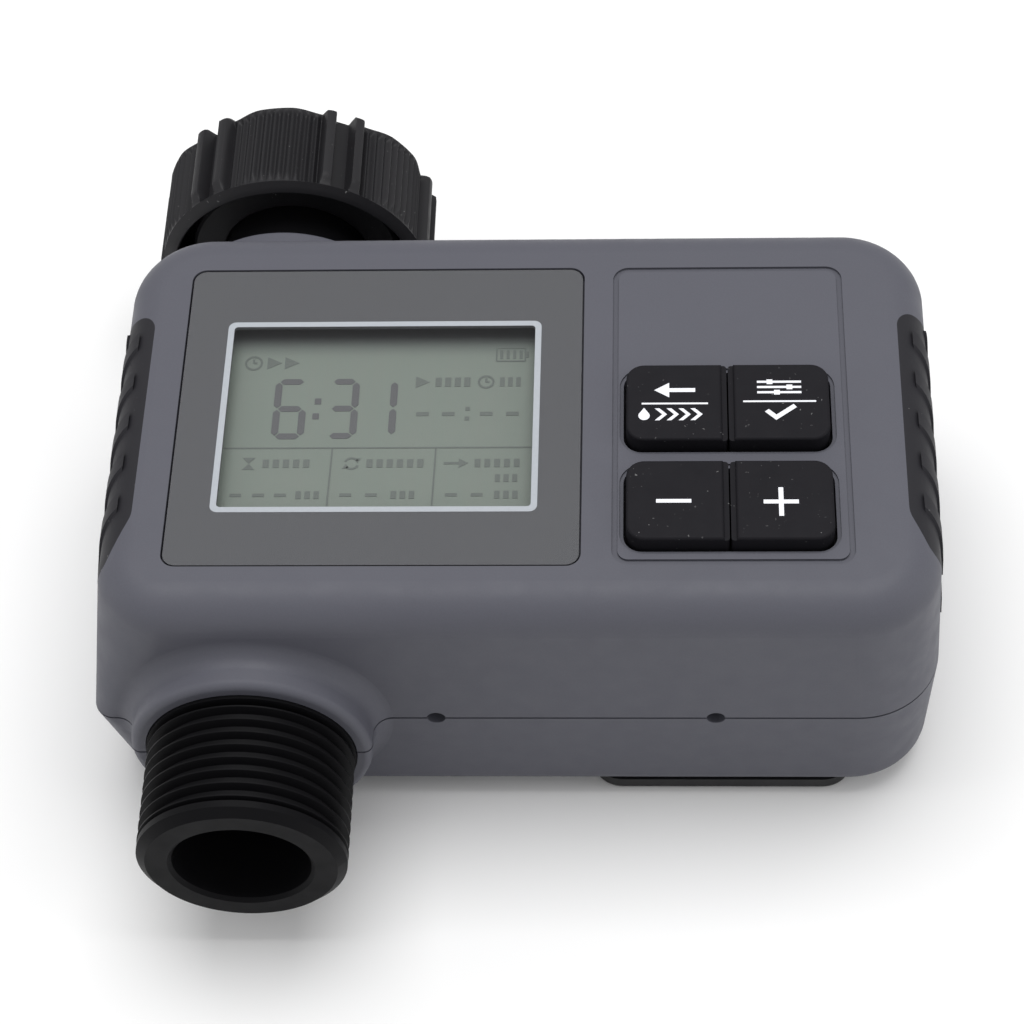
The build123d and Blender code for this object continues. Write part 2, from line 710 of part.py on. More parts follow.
def make_gear_pins():
    x1 = gearbox_x[1] + plate_thick
    long_pin = along_x(second_yz[0], second_yz[1], pin_r, gearbox_x[0] + 0.2, x1)
    short_pin = along_x(first_yz[0], first_yz[1], pin_r, gear_layers["second"][0] - 0.1, x1)
    return joined([long_pin, short_pin])


def make_motor_pinion():
    y, z = motor_yz
    x0 = gear_layers["first"][0] - 0.2
    pinion = gear(motor_teeth, motor_yz, motor_phase, x0, gearbox_x[1] - 0.4)
    return pinion - along_x(y, z, pin_r, x0 - 1, gearbox_x[1] + 1)


def make_motor_shaft():
    y, z = motor_yz
    return along_x(y, z, pin_r, gear_layers["first"][0] - 0.2, gearbox_x[1] + plate_thick + motor_length - 2)


def make_motor():
    """Small flat-sided direct-current motor, with its shaft's way through it."""
    y, z = motor_yz
    x0 = gearbox_x[1] + plate_thick + 0.1
    x1 = x0 + motor_length
    can = along_x(y, z, motor_r, x0, x1) & block(x0, x1, y - 20, y + 20, z - motor_flat, z + motor_flat)
    can += along_x(y, z, 3.0, x0 - plate_thick, x0)
    return can - along_x(y, z, pin_r + running_gap, x0 - 5, x1 - 1)


def make_gearbox_base():
    x0, x1 = gearbox_x
    y0, y1 = gearbox_y
    z0, z1 = gearbox_z
    inner_x = x0 + plate_thick
    tray = block(x0, x1, y0, y1, z0, z1)
    tray -= block(inner_x, x1 + 1, y0 + gearbox_wall, y1 - gearbox_wall, z0 + gearbox_wall, z1 - gearbox_wall)
    for y, z in gearbox_screw_yz:
        tray += along_x(y, z, 1.8, x0 + 0.2, x1) - along_x(y, z, 0.8, x1 - 6, x1 + 1)
    tray -= along_x(stem_yz[0], stem_yz[1], stem_r + body_gap, x0 - 1, inner_x + 1)
    return tray - along_x(second_yz[0], second_yz[1], pin_r, x0 + 0.2, inner_x + 1)


def make_gearbox_cover():
    x0 = gearbox_x[1]
    x1 = x0 + plate_thick
    plate = block(x0, x1, gearbox_y[0], gearbox_y[1], gearbox_z[0], gearbox_z[1])
    for y, z in gearbox_screw_yz:
        plate -= along_x(y, z, 1.05, x0 - 1, x1 + 1)
    for y, z in (second_yz, first_yz):
        plate -= along_x(y, z, pin_r, x0 - 1, x1 + 1)
    return plate - along_x(motor_yz[0], motor_yz[1], 3.1, x0 - 1, x1 + 1)


def make_gearbox_screws():
    x1 = gearbox_x[1] + plate_thick
    screws = []
    for y, z in gearbox_screw_yz:
        head = along_x(y, z, 1.7, x1, x1 + 1.2) - block(x1 + 0.6, x1 + 2, y - 1.1, y + 1.1, z - 0.2, z + 0.2)
        screws.append(head + along_x(y, z, 0.75, x1 - 6.5, x1))
    return joined(screws)


def wire(x, y, z0, z1):
    return along_z(x, y, 0.6, z0, z1)


def make_motor_leads():
    """Two insulated wires from the motor's tags up to the board."""
    y, z = motor_yz
    x = gearbox_x[1] + plate_thick + 0.1 + motor_length
    leads = []
    for step in (-3.0, 3.0):
        tag = along_x(y + step, z, 0.6, x, x + 2.0)
        elbow = Pos(x + 2.0, y + step, z) * Sphere(0.6)
        leads.append(tag + elbow + wire(x + 2.0, y + step, z, board_z))
    return joined(leads)


def make_battery_leads():
    return joined([wire(x, 19.0, box_top, board_z) for x in (36.0, 39.0)])


# ---------------------------------------------------------------- batteries
def make_battery_box():
    """The dry compartment: open towards the cover, closed towards the electronics."""
    floor_z = rear_z + wall
    box = rounded_block(box_inner, floor_z, box_top, 0.8, box_wall)
    return box - rounded_block(box_inner, floor_z - 1, box_top - 0.9, 0.4)


def make_battery_cell(column):
    """An AA cell with its positive nipple; the two cells lie head to tail."""
    x = cell_x[column]
    half = cell_length / 2
    turn = 1 if column == 0 else -1
    can = fillet(along_y(x, cell_z, cell_r, cell_y - half, cell_y + half).edges(), 0.6)
    tip = cell_y + turn * half
    return can + along_y(x, cell_z, 2.7, min(tip, tip + turn) - 0.1, max(tip, tip + turn) + 0.1)


def contact_cone(x, y, direction):
    """A conical contact spring drawn as stacked rings."""
    rings = None
    for turn in range(3):
        radius = 4.4 - turn
        y0 = y + direction * turn * 0.55
        y1 = y0 + direction * 0.65
        low, high = min(y0, y1), max(y0, y1)
        ring = along_y(x, cell_z, radius, low, high) - along_y(x, cell_z, radius - 1.1, low - 1, high + 1)
        rings = ring if rings is None else rings + ring
    return rings


def make_battery_contacts():
    """Spring and flat contacts at both ends of the compartment."""
    x0, x1, y0, y1 = box_inner
    low, high = cell_z - 4.8, cell_z + 5.0
    far_plate = block(x0 + 1.6, x1 - 1.6, y1 - 0.5, y1, low, high)
    near_left = block(cell_x[0] - 5, cell_x[0] + 5, y0, y0 + 0.5, low, high)
    near_right = block(cell_x[1] - 5, cell_x[1] + 5, y0, y0 + 0.5, low, high)
    far_plate += contact_cone(cell_x[1], y1 - 0.5, -1)
    near_left += contact_cone(cell_x[0], y0 + 0.5, 1)
    return joined([far_plate, near_left, near_right])


def make_battery_cover():
    """Flat outer plate with a lip that plugs the compartment and a finger notch at its end."""
    plate = rounded_block(cover, 0, cover_thick, 4.0)
    plate = fillet(plate.faces().sort_by(Axis.Z)[0].edges(), 0.8)
    lip = rounded_block(box_inner, cover_thick - 0.5, cover_thick + cover_lip, 0.6, -0.3)
    lip -= rounded_block(box_inner, cover_thick - 1, cover_thick + 4, 0.3, -1.5)
    plate += lip
    plate -= rounded_block(box_inner, cover_thick - 0.8, cover_thick + 1, 2.0, 1.5) \
        - rounded_block(box_inner, cover_thick - 2, cover_thick + 2, 1.4, 0.3)
    x0, x1, y0, y1 = cover
    middle = (x0 + x1) / 2
    notch = Pos(middle, y1 + 4, 0) * Rot(Y=90) * Cylinder(5.0, 9)
    return plate - notch


def make_battery_seal():
    z1 = rear_z - 0.02
    ring = rounded_block(box_inner, cover_thick - 0.8, z1, 1.9, 1.4)
    return ring - rounded_block(box_inner, cover_thick - 2, z1 + 1, 1.5, 0.4)


# ---------------------------------------------------------------- output
def all_nodes():
    body = outer_body()
    nodes = {
        "front_shell": make_front_shell(body),
        "rear_shell": make_rear_shell(body),
        "shell_seal": make_shell_seal(),
        "shell_screws": make_shell_screws(),
        "left_grip": make_grip(-1),
        "right_grip": make_grip(1),
        "display_window": make_display_window(),
        "window_mask": make_window_mask(),
        "lcd_panel": make_lcd_panel(),
        "lcd_holder": make_lcd_holder(),
        "lcd_connectors": make_lcd_connectors(),
        "circuit_board": make_circuit_board(),
        "board_screws": make_board_screws(),
        "driver_chips": make_driver_chips(),
        "keypad_mat": make_keypad_mat(),
        "tact_switches": make_tact_switches(),
        "valve_body": make_valve_body(),
        "valve_ball": make_ball(),
        "outlet_seat": make_ball_seat(-1),
        "inlet_seat": make_ball_seat(1),
        "ball_stem": make_ball_stem(),
        "stem_seal": make_stem_seal(),
        "inlet_tube": make_inlet_tube(),
        "inlet_o_ring": make_inlet_o_ring(),
        "filter_screen": make_filter_screen(),
        "inlet_washer": make_inlet_washer(),
        "inlet_nut": make_inlet_nut(),
        "gearbox_base": make_gearbox_base(),
        "gearbox_cover": make_gearbox_cover(),
        "gearbox_screws": make_gearbox_screws(),
        "output_gear": make_output_gear(),
        "second_gear": make_second_gear(),
        "first_gear": make_first_gear(),
        "gear_pins": make_gear_pins(),
        "motor": make_motor(),
        "motor_shaft": make_motor_shaft(),
        "motor_pinion": make_motor_pinion(),
        "motor_leads": make_motor_leads(),
        "battery_leads": make_battery_leads(),
        "battery_box": make_battery_box(),
        "battery_cell_a": make_battery_cell(0),
        "battery_cell_b": make_battery_cell(1),
        "battery_contacts": make_battery_contacts(),
        "battery_cover": make_battery_cover(),
        "battery_seal": make_battery_seal(),
    }
    for row in range(2):
        for column in range(2):
            name = key_names[row][column]
            nodes[name] = make_key(row, column)
            nodes[name + "_plunger"] = make_switch_plunger(row, column)
    return nodes


os.makedirs("parts", exist_ok=True)
for name, shape in all_nodes().items():
    export_step(shape, f"parts/{name}.step")
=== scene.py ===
import bpy
import bmesh
import json
import math
from mathutils import Matrix, Vector


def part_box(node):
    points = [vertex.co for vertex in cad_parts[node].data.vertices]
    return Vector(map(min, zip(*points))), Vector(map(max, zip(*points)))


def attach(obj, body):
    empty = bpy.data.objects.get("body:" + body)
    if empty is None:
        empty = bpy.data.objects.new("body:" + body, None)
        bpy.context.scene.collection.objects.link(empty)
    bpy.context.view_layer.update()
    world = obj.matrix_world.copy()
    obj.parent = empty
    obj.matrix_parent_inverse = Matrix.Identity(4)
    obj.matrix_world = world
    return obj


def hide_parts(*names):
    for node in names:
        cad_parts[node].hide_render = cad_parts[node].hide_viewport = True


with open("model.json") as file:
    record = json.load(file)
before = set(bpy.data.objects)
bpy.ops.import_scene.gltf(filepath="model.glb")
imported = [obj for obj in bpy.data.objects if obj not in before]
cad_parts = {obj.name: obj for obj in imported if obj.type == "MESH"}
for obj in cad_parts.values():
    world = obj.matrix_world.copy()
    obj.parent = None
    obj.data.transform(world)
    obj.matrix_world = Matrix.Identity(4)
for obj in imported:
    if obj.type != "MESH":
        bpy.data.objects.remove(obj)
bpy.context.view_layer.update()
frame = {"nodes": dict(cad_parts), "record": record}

MM = 0.001
nodes = frame["nodes"]
record = frame["record"]
mounts = {m["name"]: m for m in record["mounts"]}
axis_x, _, axis_z = mounts["inlet_socket"]["pos_m"]


# ------------------------------------------------------------------ camera, floor and light
def basis_camera(place, yaw, tilt, roll, lens):
    """A camera at place that looks yaw degrees off +Y, tilted down and rolled."""
    yaw, tilt, roll = (math.radians(a) for a in (yaw, tilt, roll))
    ahead = Vector((math.sin(yaw) * math.cos(tilt), math.cos(yaw) * math.cos(tilt), -math.sin(tilt)))
    level = Vector((math.cos(yaw), -math.sin(yaw), 0))
    over = level.cross(ahead)
    right = level * math.cos(roll) + over * math.sin(roll)
    up = over * math.cos(roll) - level * math.sin(roll)
    turn = Matrix((right, up, -ahead)).transposed()
    camera = bpy.data.objects.new("camera", bpy.data.cameras.new("camera"))
    camera.data.lens = lens
    camera.data.sensor_width = 36
    camera.matrix_world = Matrix.Translation(place) @ turn.to_4x4()
    bpy.context.scene.collection.objects.link(camera)
    bpy.context.scene.camera = camera


def soft_light(name, place, aim, size, power, colour=(1, 1, 1)):
    lamp = bpy.data.lights.new(name, "AREA")
    lamp.shape = "RECTANGLE"
    lamp.size, lamp.size_y = size
    lamp.energy = power
    lamp.color = colour
    holder = bpy.data.objects.new(name, lamp)
    holder.location = place
    holder.rotation_euler = (Vector(aim) - Vector(place)).to_track_quat("-Z", "Y").to_euler()
    bpy.context.scene.collection.objects.link(holder)


def add_floor():
    bm = bmesh.new()
    half = 3.0
    corners = [bm.verts.new((x * half, y * half, -0.0002)) for x, y in ((-1, -1), (1, -1), (1, 1), (-1, 1))]
    bm.faces.new(corners)
    mesh = bpy.data.meshes.new("floor")
    bm.to_mesh(mesh)
    floor = bpy.data.objects.new("floor", mesh)
    bpy.context.scene.collection.objects.link(floor)
    material = bpy.data.materials.new("floor_paper")
    material.use_nodes = True
    shader = material.node_tree.nodes["Principled BSDF"]
    shader.inputs["Base Color"].default_value = (0.90, 0.90, 0.90, 1)
    shader.inputs["Roughness"].default_value = 0.9
    mesh.materials.append(material)


def set_world():
    world = bpy.data.worlds.new("studio")
    world.use_nodes = True
    world.node_tree.nodes["Background"].inputs["Color"].default_value = (1, 1, 1, 1)
    world.node_tree.nodes["Background"].inputs["Strength"].default_value = 0.61
    bpy.context.scene.world = world


basis_camera(Vector((17.20, -229.795, 333.41)) * MM, -4.634, 53.834, -3.898, 101.53)
add_floor()
set_world()
bpy.context.scene.view_settings.view_transform = "Standard"
soft_light("overhead", (0.0, 0.12, 0.85), (0, 0, 0.02), (0.8, 0.5), 5.2)
soft_light("left_strip", (-0.60, -0.10, 0.16), (0, -0.02, 0.02), (0.10, 0.6), 0.35)
soft_light("right_strip", (0.60, -0.10, 0.16), (0, -0.02, 0.02), (0.10, 0.6), 0.7)


# ------------------------------------------------------------------ materials
class Shader:
    """A node material built step by step round one Principled shader."""

    def __init__(self, name, roughness=0.5, metallic=0.0, specular=0.5, coat=0.0):
        self.material = bpy.data.materials.new(name)
        self.material.use_nodes = True
        self.tree = self.material.node_tree
        self.shader = self.tree.nodes["Principled BSDF"]
        self.set("Roughness", roughness)
        self.set("Metallic", metallic)
        self.set("Specular IOR Level", specular)
        self.set("Coat Weight", coat)
        self.place = self.tree.nodes.new("ShaderNodeTexCoord").outputs["Object"]
        self.height = None

    def set(self, socket, value):
        self.shader.inputs[socket].default_value = value

    def link(self, source, target):
        self.tree.links.new(source, target)

    def node(self, kind, **settings):
        made = self.tree.nodes.new(kind)
        for key, value in settings.items():
            setattr(made, key, value)
        return made

    def noise(self, scale_mm, detail=2.0, rough=0.5, stretch=(1, 1, 1)):
        """Noise whose features are about scale_mm wide; the output runs from 0 to 1."""
        mapping = self.node("ShaderNodeMapping")
        mapping.inputs["Scale"].default_value = stretch
        noise = self.node("ShaderNodeTexNoise")
        noise.inputs["Scale"].default_value = 1 / (scale_mm * MM)
        noise.inputs["Detail"].default_value = detail
        noise.inputs["Roughness"].default_value = rough
        self.link(self.place, mapping.inputs["Vector"])
        self.link(mapping.outputs["Vector"], noise.inputs["Vector"])
        return noise.outputs["Fac"]

    def ramp(self, source, stops):
        """A colour ramp; stops are (place, grey value or colour)."""
        ramp = self.node("ShaderNodeValToRGB")
        elements = ramp.color_ramp.elements
        while len(elements) < len(stops):
            elements.new(0.5)
        for element, (place, value) in zip(elements, stops):
            element.position = place
            colour = (value,) * 3 if isinstance(value, (int, float)) else value
            element.color = (*colour, 1)
        self.link(source, ramp.inputs["Fac"])
        return ramp.outputs["Color"]

    def mix(self, factor, first, second):
        """Mixes two colours; each is a socket or an RGB triple, and factor a socket or a number."""
        mix = self.node("ShaderNodeMix", data_type="RGBA")
        for name, value in (("Factor", factor), ("A", first), ("B", second)):
            socket = [s for s in mix.inputs if s.name == name and (s.type == "RGBA" or name == "Factor")][0]
            if isinstance(value, bpy.types.NodeSocket):
                self.link(value, socket)
            elif name == "Factor":
                socket.default_value = value
            else:
                socket.default_value = (*value, 1)
        return [s for s in mix.outputs if s.type == "RGBA"][0]

    def bump(self, source, depth_mm, strength=1.0):
        node = self.node("ShaderNodeBump")
        node.inputs["Strength"].default_value = strength
        node.inputs["Distance"].default_value = depth_mm * MM
        self.link(source, node.inputs["Height"])
        if self.height is not None:
            self.link(self.height, node.inputs["Normal"])
        self.height = node.outputs["Normal"]
        self.link(self.height, self.shader.inputs["Normal"])

    def colour(self, source):
        if isinstance(source, bpy.types.NodeSocket):
            self.link(source, self.shader.inputs["Base Color"])
        else:
            self.shader.inputs["Base Color"].default_value = (*source, 1)

    def roughness(self, source):
        self.link(source, self.shader.inputs["Roughness"])


def tint(colour, factor):
    return tuple(min(1.0, c * factor) for c in colour)


def moulded(name, colour, rough=0.5, grain_mm=0.25, grain_depth=0.012, mottle=0.06, specular=0.5, dust=0.0):
    """Moulded plastic or rubber: fine spark texture, slow colour drift, uneven gloss, maybe dust."""
    m = Shader(name, roughness=rough, specular=specular)
    drift = m.noise(14, 3)
    body = m.mix(drift, tint(colour, 1 - mottle), tint(colour, 1 + mottle))
    fine = m.noise(grain_mm, 3, 0.6)
    body = m.mix(m.ramp(fine, [(0.35, 0.0), (0.65, 0.22)]), body, tint(colour, 1.25))
    if dust > 0:
        specks = m.noise(0.42, 1, 0.4)
        patches = m.ramp(m.noise(5.5, 2), [(0.45, 0.0), (0.75, 1.0)])
        limit = 0.80 - 0.06 * dust
        grain = m.ramp(specks, [(limit, 0.0), (limit + 0.03, 1.0)])
        both = m.node("ShaderNodeMath", operation="MULTIPLY")
        m.link(grain, both.inputs[0])
        m.link(patches, both.inputs[1])
        body = m.mix(both.outputs[0], body, (0.20, 0.20, 0.20))
    m.colour(body)
    m.roughness(m.ramp(m.noise(3.0, 3), [(0.3, rough - 0.05), (0.7, rough + 0.06)]))
    m.bump(fine, grain_depth)
    return m.material


def metal(name, colour, rough=0.3, brush=(1, 1, 14)):
    m = Shader(name, roughness=rough, metallic=1.0)
    streaks = m.noise(0.6, 4, 0.6, stretch=brush)
    m.colour(m.mix(streaks, tint(colour, 0.82), tint(colour, 1.1)))
    m.roughness(m.ramp(streaks, [(0.3, rough - 0.08), (0.7, rough + 0.12)]))
    m.bump(streaks, 0.006)
    return m.material


def board_material():
    """Green solder mask over copper tracks."""
    m = Shader("solder_mask", roughness=0.35, coat=0.3)
    cells = m.node("ShaderNodeTexBrick")
    cells.inputs["Scale"].default_value = 240
    cells.inputs["Mortar Size"].default_value = 0.06
    m.link(m.place, cells.inputs["Vector"])
    tracks = m.ramp(cells.outputs["Fac"], [(0.4, 0.0), (0.6, 1.0)])
    green = m.mix(m.noise(6, 2), (0.012, 0.11, 0.04), (0.02, 0.16, 0.06))
    m.colour(m.mix(tracks, green, (0.04, 0.24, 0.09)))
    m.bump(tracks, 0.03)
    return m.material


def mesh_material():
    """Woven stainless wire, with the openings between the wires painted near-black as shade."""
    m = Shader("woven_wire", roughness=0.35, metallic=1.0)
    waves = []
    for direction in ("X", "Y"):
        wave = m.node("ShaderNodeTexWave", bands_direction=direction)
        wave.inputs["Scale"].default_value = 700
        m.link(m.place, wave.inputs["Vector"])
        waves.append(wave.outputs["Fac"])
    both = m.node("ShaderNodeMath", operation="MULTIPLY")
    m.link(waves[0], both.inputs[0])
    m.link(waves[1], both.inputs[1])
    # Painted shade: where the weave has openings the colour is near-black, standing in for the shade seen
    # through them.
    holes = m.ramp(both.outputs[0], [(0.25, 1.0), (0.55, 0.0)])
    m.colour(m.mix(holes, (0.02, 0.02, 0.02), (0.62, 0.62, 0.60)))
    m.bump(holes, 0.08)
    return m.material


def cell_material(name):
    """Printed sleeve of a battery cell: a dark body with a copper-coloured end band along Y."""
    m = Shader(name, roughness=0.25, coat=0.5)
    low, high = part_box(name)
    split = m.node("ShaderNodeSeparateXYZ")
    m.link(m.place, split.inputs[0])
    band = m.node("ShaderNodeMapRange")
    positive_up = name.endswith("_a")
    edge = high.y - 0.013 if positive_up else low.y + 0.013
    band.inputs["From Min"].default_value = edge - 0.00005 if positive_up else edge + 0.00005
    band.inputs["From Max"].default_value = edge + 0.00005 if positive_up else edge - 0.00005
    m.link(split.outputs["Y"], band.inputs["Value"])
    wear = m.noise(2.0, 3)
    dark = m.mix(wear, (0.015, 0.017, 0.02), (0.03, 0.032, 0.036))
    gold = m.mix(wear, (0.48, 0.24, 0.08), (0.6, 0.32, 0.12))
    m.colour(m.mix(band.outputs["Result"], dark, gold))
    m.bump(wear, 0.01)
    return m.material


def lcd_material():
    """Reflective liquid crystal: green-grey with faint vertical streaks and cloudy patches, and a painted
    shadow that darkens it towards its top edge.
    """
    m = Shader("lcd_glass", roughness=0.32, specular=0.35)
    cloud = m.noise(7, 3)
    base = m.mix(cloud, (0.188, 0.222, 0.196), (0.205, 0.232, 0.206))
    lines = m.noise(0.8, 2, 0.5, stretch=(1, 0.04, 1))
    base = m.mix(m.ramp(lines, [(0.3, 0.0), (0.7, 0.35)]), base, (0.190, 0.235, 0.205))
    split = m.node("ShaderNodeSeparateXYZ")
    m.link(m.place, split.inputs[0])
    # Painted shadow: from y 8.5 mm to 12.9 mm the colour darkens smoothly to near-black, standing in for
    # the shade the window border casts on the recessed LCD.
    edge = m.node("ShaderNodeMapRange", interpolation_type="SMOOTHSTEP")
    edge.inputs["From Min"].default_value = 8.5 * MM
    edge.inputs["From Max"].default_value = 12.9 * MM
    m.link(split.outputs["Y"], edge.inputs["Value"])
    m.colour(m.mix(edge.outputs["Result"], base, (0.062, 0.064, 0.070)))
    m.bump(m.noise(0.12, 2), 0.004)
    return m.material


def window_material():
    """Clear moulded window: nearly invisible, with a faint skin of moulding marks."""
    m = Shader("clear_window", roughness=0.12, specular=0.3)
    m.set("IOR", 1.35)
    haze = m.noise(9, 3)
    m.roughness(m.ramp(haze, [(0.3, 0.10), (0.7, 0.17)]))
    m.colour((0.12, 0.12, 0.12))
    m.set("Alpha", 0.06)
    m.bump(m.noise(0.3, 2), 0.0015)
    return m.material


GREY = (0.0875, 0.0885, 0.1075)
grey_plastic = moulded("grey_plastic", GREY, rough=0.52, grain_mm=0.22, grain_depth=0.010, mottle=0.03,
                       specular=0.25)
black_plastic = moulded("black_plastic", (0.0055, 0.0054, 0.0062), rough=0.45, grain_mm=0.2,
                        grain_depth=0.006, specular=0.06)
nut_plastic = moulded("nut_plastic", (0.0155, 0.015, 0.017), rough=0.5, grain_mm=0.22,
                      grain_depth=0.010, dust=0.6, specular=0.22)
cover_plastic = moulded("cover_plastic", (0.011, 0.011, 0.012), rough=0.48, grain_mm=0.3,
                        grain_depth=0.014, specular=0.3)
key_rubber = moulded("key_rubber", (0.0105, 0.010, 0.0125), rough=0.6, grain_mm=0.3, grain_depth=0.008,
                     dust=1.0, specular=0.10)
grip_rubber = moulded("grip_rubber", (0.0175, 0.017, 0.0205), rough=0.55, grain_mm=0.25,
                      grain_depth=0.010, dust=0.5, specular=0.2)
seal_rubber = moulded("seal_rubber", (0.01, 0.01, 0.01), rough=0.6)
border_print = moulded("border_print", (0.101, 0.103, 0.111), rough=0.45, grain_mm=0.5,
                       grain_depth=0.002, mottle=0.02, specular=0.1)
white_nylon = moulded("white_nylon", (0.66, 0.65, 0.61), rough=0.5)
acetal = moulded("acetal", (0.75, 0.75, 0.70), rough=0.35, grain_depth=0.004)
ptfe = moulded("ptfe", (0.82, 0.82, 0.80), rough=0.4, grain_depth=0.004)
chip_epoxy = moulded("chip_epoxy", (0.018, 0.018, 0.018), rough=0.6)
wire_red = moulded("wire_insulation", (0.42, 0.02, 0.02), rough=0.4)
zebra = moulded("contact_rubber", (0.36, 0.33, 0.44), rough=0.5)
white_ink = moulded("white_ink", (0.80, 0.81, 0.86), rough=0.45, grain_mm=0.3, grain_depth=0.002,
                    mottle=0.02)
line_ink = moulded("line_ink", (0.47, 0.50, 0.54), rough=0.45, grain_mm=0.3, grain_depth=0.002,
                   mottle=0.03, specular=0.2)
segment_ink = moulded("segment_ink", (0.115, 0.118, 0.124), rough=0.4, grain_depth=0.001, mottle=0.05,
                      specular=0.2)
faint_ink = moulded("faint_ink", (0.138, 0.156, 0.146), rough=0.4, grain_depth=0.001, mottle=0.05,
                    specular=0.2)
steel = metal("zinc_steel", (0.55, 0.55, 0.54))
brass = metal("brass", (0.72, 0.50, 0.20))
lcd_glass = lcd_material()
clear_window = window_material()

finishes = {
    "front_shell": grey_plastic, "rear_shell": grey_plastic, "valve_body": black_plastic,
    "inlet_tube": black_plastic, "inlet_nut": nut_plastic, "battery_cover": cover_plastic,
    "battery_box": cover_plastic, "left_grip": grip_rubber, "right_grip": grip_rubber,
    "keypad_mat": key_rubber, "display_window": clear_window, "window_mask": border_print,
    "lcd_panel": lcd_glass, "lcd_holder": white_nylon, "lcd_connectors": zebra,
    "circuit_board": board_material(), "driver_chips": chip_epoxy, "tact_switches": chip_epoxy,
    "valve_ball": acetal, "outlet_seat": ptfe, "inlet_seat": ptfe, "ball_stem": steel,
    "stem_seal": seal_rubber, "inlet_o_ring": seal_rubber, "shell_seal": seal_rubber,
    "battery_seal": seal_rubber, "inlet_washer": seal_rubber, "filter_screen": mesh_material(),
    "gearbox_base": white_nylon, "gearbox_cover": white_nylon, "output_gear": acetal,
    "second_gear": acetal, "first_gear": acetal, "gear_pins": steel, "motor": steel,
    "motor_shaft": steel, "motor_pinion": brass, "motor_leads": wire_red, "battery_leads": wire_red,
    "shell_screws": steel, "board_screws": steel, "gearbox_screws": steel, "battery_contacts": steel,
    "battery_cell_a": cell_material("battery_cell_a"), "battery_cell_b": cell_material("battery_cell_b"),
}
KEYS = ("key_back", "key_set", "key_minus", "key_plus")
for key in KEYS:
    finishes[key] = key_rubber
    finishes[key + "_plunger"] = white_nylon
for name, material in finishes.items():
    mesh = nodes[name].data
    mesh.materials.clear()
    mesh.materials.append(material)
    for polygon in mesh.polygons:
        polygon.material_index = 0


# ------------------------------------------------------------------ mesh helpers
def new_piece(name, verts, faces, material, body, smooth_angle=None):
    """A mesh that rides on a body and takes its finish from a slot."""
    mesh = bpy.data.meshes.new(name)
    mesh.from_pydata([tuple(v) for v in verts], [], faces)
    mesh.validate()
    bm = bmesh.new()
    bm.from_mesh(mesh)
    bmesh.ops.recalc_face_normals(bm, faces=bm.faces)
    bm.to_mesh(mesh)
    bm.free()
    mesh.materials.append(material)
    piece = bpy.data.objects.new(name, mesh)
    bpy.context.scene.collection.objects.link(piece)
    if smooth_angle is not None:
        smooth(piece, smooth_angle)
    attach(piece, body)
    return piece


def smooth(piece, degrees):
    """Smooth shading with sharp edges above an angle."""
    mesh = piece.data
    bm = bmesh.new()
    bm.from_mesh(mesh)
    limit = math.radians(degrees)
    for face in bm.faces:
        face.smooth = True
    for edge in bm.edges:
        edge.smooth = len(edge.link_faces) == 2 and edge.calc_face_angle(0) < limit
    bm.to_mesh(mesh)
    bm.free()


def prism(outline, z0, z1, holes=()):
    """(verts, faces) of an upright prism over an outline; a hole needs as many points as the outline."""
    count = len(outline)
    verts = [(x, y, z) for z in (z0, z1) for x, y in outline]
    faces = []
    for i in range(count):
        j = (i + 1) % count
        faces.append((i, j, count + j, count + i))
    if not holes:
        faces += [tuple(reversed(range(count))), tuple(range(count, 2 * count))]
        return verts, faces
    inner = holes[0]
    base = len(verts)
    verts += [(x, y, z) for z in (z0, z1) for x, y in inner]
    for i in range(count):
        j = (i + 1) % count
        faces.append((base + j, base + i, base + count + i, base + count + j))
        faces.append((j, i, base + i, base + j))
        faces.append((count + i, count + j, base + count + j, base + count + i))
    return verts, faces


def rounded_rect(x0, x1, y0, y1, radius, steps=8):
    points = []
    corners = ((x1, y1, 0), (x0, y1, 90), (x0, y0, 180), (x1, y0, 270))
    for x, y, start in corners:
        cx = x - radius if start in (0, 270) else x + radius
        cy = y - radius if start in (0, 90) else y + radius
        for step in range(steps + 1):
            angle = math.radians(start + 90 * step / steps)
            points.append((cx + radius * math.cos(angle), cy + radius * math.sin(angle)))
    return points


def join_prisms(name, prisms, material, body):
    """One piece made of several prisms."""
    verts, faces = [], []
    for more_verts, more_faces in prisms:
        base = len(verts)
        verts += more_verts
        faces += [tuple(base + i for i in face) for face in more_faces]
    return new_piece(name, verts, faces, material, body)


def bar(x0, y0, x1, y1, width):
    """Outline of a straight stroke, in the given units."""
    along = Vector((x1 - x0, y1 - y0)).normalized()
    side = Vector((-along.y, along.x)) * width / 2
    a, b = Vector((x0, y0)), Vector((x1, y1))
    return [tuple(a + side), tuple(a - side), tuple(b - side), tuple(b + side)]


def ring_outline(x, y, radius, steps=24, start=0.0, sweep=360.0):
    return [(x + radius * math.cos(math.radians(start + sweep * i / steps)),
             y + radius * math.sin(math.radians(start + sweep * i / steps))) for i in range(steps + 1)]


def arc_band(x, y, radius, width, start, sweep, steps=20):
    """Quads along an arc stroke, as separate outlines."""
    outer = ring_outline(x, y, radius + width / 2, steps, start, sweep)
    inner = ring_outline(x, y, radius - width / 2, steps, start, sweep)
    return [[outer[i], outer[i + 1], inner[i + 1], inner[i]] for i in range(steps)]


# ------------------------------------------------------------------ display
def cad_top(name):
    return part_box(name)[1].z / MM


def strokes(outlines, z, thick=0.03):
    """Thin upright prisms over closed outlines, all in millimetres, returned in metres."""
    prisms = []
    for index, outline in enumerate(outlines):
        top = z + thick + (index % 5) * 0.002
        prisms.append(prism([(x * MM, y * MM) for x, y in outline], z * MM, top * MM))
    return prisms


